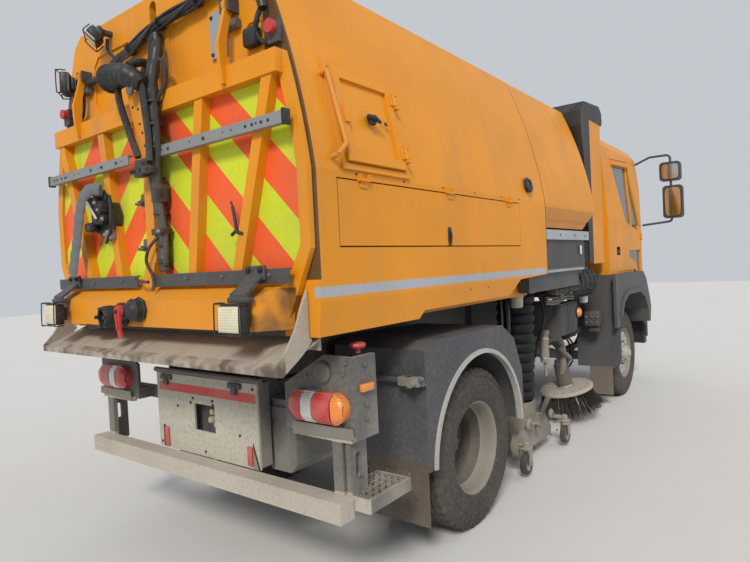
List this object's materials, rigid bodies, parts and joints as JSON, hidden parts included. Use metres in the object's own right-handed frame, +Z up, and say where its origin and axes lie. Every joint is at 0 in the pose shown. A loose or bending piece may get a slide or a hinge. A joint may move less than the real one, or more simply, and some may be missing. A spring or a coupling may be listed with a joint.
{
  "type": "street sweeper truck",
  "caption": "Suction street sweeper truck with tipping hopper, ribbed tail door, side brushes, suction nozzles and a tilting day cab",
  "frame": {"origin": "middle of the whole truck's length and width, on the ground", "axes": "+X to the front of the truck, +Y to its left, +Z up"},
  "size_m": [7.155, 3.14, 3.3499],
  "materials": {
    "body_paint": "gloss orange-yellow paint, dusty",
    "chassis_paint": "satin black paint, dusty",
    "galvanised": "dull galvanised steel",
    "machinery": "dark painted castings",
    "black_trim": "matt black plastic",
    "cable_sleeve": "black corrugated sleeve",
    "hose_rubber": "dusty black rubber",
    "lamp_lens": "red lamp lens",
    "window_glass": "tinted glass",
    "tyre_rubber": "dusty rubber on a pale steel rim",
    "ram_steel": "chromed rod",
    "bristles": "dark bristles under a pale steel disc"
  },
  "bodies": {
    "chassis": {"chassis_frame": "chassis_paint", "frame_brackets": "chassis_paint", "axles_and_springs": "machinery", "drive_engine": "machinery", "sweeper_engine_housing": "chassis_paint", "intake_stack": "body_paint", "intake_hood": "black_trim", "wheel_guards": "black_trim", "rear_underrun": "chassis_paint", "tail_lamps": "lamp_lens", "front_bumper": "black_trim", "suction_hoses": "hose_rubber"},
    "cab": {"cab_shell": "body_paint", "cab_glass": "window_glass", "cab_interior": "black_trim", "cab_trim": "black_trim"},
    "hopper": {"hopper_body": "body_paint", "hopper_floor": "body_paint", "hopper_front": "body_paint", "discharge_tray": "galvanised", "header_fittings": "machinery", "cable_bundle": "cable_sleeve"},
    "tail_door": {"tail_door": "body_paint", "tail_door_rails": "galvanised", "tail_door_fittings": "machinery"},
    "ram_barrel": {"tip_ram_barrel": "chassis_paint"},
    "ram_rod": {"tip_ram_rod": "ram_steel"},
    "door_left": {"cab_door_left": "body_paint", "door_glass_left": "window_glass"},
    "locker_left": {"locker_flap_left": "body_paint"},
    "hatch_left": {"side_hatch_left": "body_paint"},
    "knuckle_left": {"knuckle_left": "machinery"},
    "front_wheel_left": {"front_wheel_left": "tyre_rubber"},
    "rear_wheels_left": {"rear_wheels_left": "tyre_rubber"},
    "brush_arm_left": {"brush_arm_left": "chassis_paint"},
    "side_brush_left": {"side_brush_left": "bristles"},
    "nozzle_left": {"nozzle_left": "machinery"},
    "door_right": {"cab_door_right": "body_paint", "door_glass_right": "window_glass"},
    "locker_right": {"locker_flap_right": "body_paint"},
    "hatch_right": {"side_hatch_right": "body_paint"},
    "knuckle_right": {"knuckle_right": "machinery"},
    "front_wheel_right": {"front_wheel_right": "tyre_rubber"},
    "rear_wheels_right": {"rear_wheels_right": "tyre_rubber"},
    "brush_arm_right": {"brush_arm_right": "chassis_paint"},
    "side_brush_right": {"side_brush_right": "bristles"},
    "nozzle_right": {"nozzle_right": "machinery"}
  },
  "joints": [
    {"name": "hopper_tip", "type": "hinge", "parent": "chassis", "child": "hopper", "pos_m": [-2.9725, 0, 1.15], "axis": [0, -1, 0], "range_deg": [0, 50]},
    {"name": "ram_swing", "type": "hinge", "parent": "chassis", "child": "ram_barrel", "pos_m": [-2.3325, 0, 0.8], "axis": [0, -1, 0], "range_deg": [-2, 52]},
    {"name": "ram_stroke", "type": "slide", "parent": "ram_barrel", "child": "ram_rod", "axis": [0.7774, 0, 0.6291], "range_m": [-0.01, 0.64]},
    {"name": "tail_door_swing", "type": "hinge", "parent": "hopper", "child": "tail_door", "pos_m": [-3.3305, 0, 2.965], "axis": [0, 1, 0], "range_deg": [0, 85]},
    {"name": "cab_tilt", "type": "hinge", "parent": "chassis", "child": "cab", "pos_m": [3.2975, 0, 0.8], "axis": [0, 1, 0], "range_deg": [0, 50]},
    {"name": "cab_door_left", "type": "hinge", "parent": "cab", "child": "door_left", "pos_m": [3.192, 1.072, 1.63], "axis": [0, 0, -1], "range_deg": [0, 65]},
    {"name": "locker_left", "type": "hinge", "parent": "hopper", "child": "locker_left", "pos_m": [-1.8525, 1.178, 2.118], "axis": [1, 0, 0], "range_deg": [0, 80]},
    {"name": "hatch_left", "type": "hinge", "parent": "hopper", "child": "hatch_left", "pos_m": [-2.5935, 1.15232, 2.43325], "axis": [0, 0.2063, -0.9785], "range_deg": [0, 110]},
    {"name": "steer_left", "type": "hinge", "parent": "chassis", "child": "knuckle_left", "pos_m": [2.1775, 0.8, 0.509], "axis": [0, 0, 1], "range_deg": [-35, 35]},
    {"name": "front_wheel_left", "type": "hinge", "parent": "knuckle_left", "child": "front_wheel_left", "pos_m": [2.1775, 0.93, 0.509], "axis": [0, 1, 0], "continuous": true},
    {"name": "rear_wheels_left", "type": "hinge", "parent": "chassis", "child": "rear_wheels_left", "pos_m": [-1.8525, 0.85, 0.509], "axis": [0, 1, 0], "continuous": true},
    {"name": "brush_arm_left", "type": "hinge", "parent": "chassis", "child": "brush_arm_left", "pos_m": [0.3475, 0.6, 0.78], "axis": [0, 0, 1], "range_deg": [0, 30]},
    {"name": "brush_spin_left", "type": "hinge", "parent": "brush_arm_left", "child": "side_brush_left", "pos_m": [0.8375, 0.785, 0.335], "axis": [-0.1663, -0.1247, 0.9781], "continuous": true},
    {"name": "nozzle_lift_left", "type": "hinge", "parent": "chassis", "child": "nozzle_left", "pos_m": [0.2075, 0.6, 0.52], "axis": [0, -1, 0], "range_deg": [0, 6], "deforming": ["suction_hoses"]},
    {"name": "cab_door_right", "type": "hinge", "parent": "cab", "child": "door_right", "pos_m": [3.192, -1.072, 1.63], "axis": [0, 0, 1], "range_deg": [0, 65]},
    {"name": "locker_right", "type": "hinge", "parent": "hopper", "child": "locker_right", "pos_m": [-1.8525, -1.178, 2.118], "axis": [-1, 0, 0], "range_deg": [0, 80]},
    {"name": "hatch_right", "type": "hinge", "parent": "hopper", "child": "hatch_right", "pos_m": [-2.5935, -1.15232, 2.43325], "axis": [0, 0.2063, 0.9785], "range_deg": [0, 110]},
    {"name": "steer_right", "type": "hinge", "parent": "chassis", "child": "knuckle_right", "pos_m": [2.1775, -0.8, 0.509], "axis": [0, 0, 1], "range_deg": [-35, 35]},
    {"name": "front_wheel_right", "type": "hinge", "parent": "knuckle_right", "child": "front_wheel_right", "pos_m": [2.1775, -0.93, 0.509], "axis": [0, 1, 0], "continuous": true},
    {"name": "rear_wheels_right", "type": "hinge", "parent": "chassis", "child": "rear_wheels_right", "pos_m": [-1.8525, -0.85, 0.509], "axis": [0, 1, 0], "continuous": true},
    {"name": "brush_arm_right", "type": "hinge", "parent": "chassis", "child": "brush_arm_right", "pos_m": [0.3475, -0.6, 0.78], "axis": [0, 0, -1], "range_deg": [0, 30]},
    {"name": "brush_spin_right", "type": "hinge", "parent": "brush_arm_right", "child": "side_brush_right", "pos_m": [0.8375, -0.785, 0.335], "axis": [-0.1663, 0.1247, 0.9781], "continuous": true},
    {"name": "nozzle_lift_right", "type": "hinge", "parent": "chassis", "child": "nozzle_right", "pos_m": [0.2075, -0.6, 0.52], "axis": [0, -1, 0], "range_deg": [0, 6], "deforming": ["suction_hoses"]}
  ],
  "couplings": [
    {"joint": "ram_swing", "follows": "hopper_tip", "ratio": 0.977},
    {"joint": "ram_stroke", "follows": "hopper_tip", "m_per_rad": 0.706},
    {"joint": "steer_right", "follows": "steer_left", "ratio": 1}
  ]
}
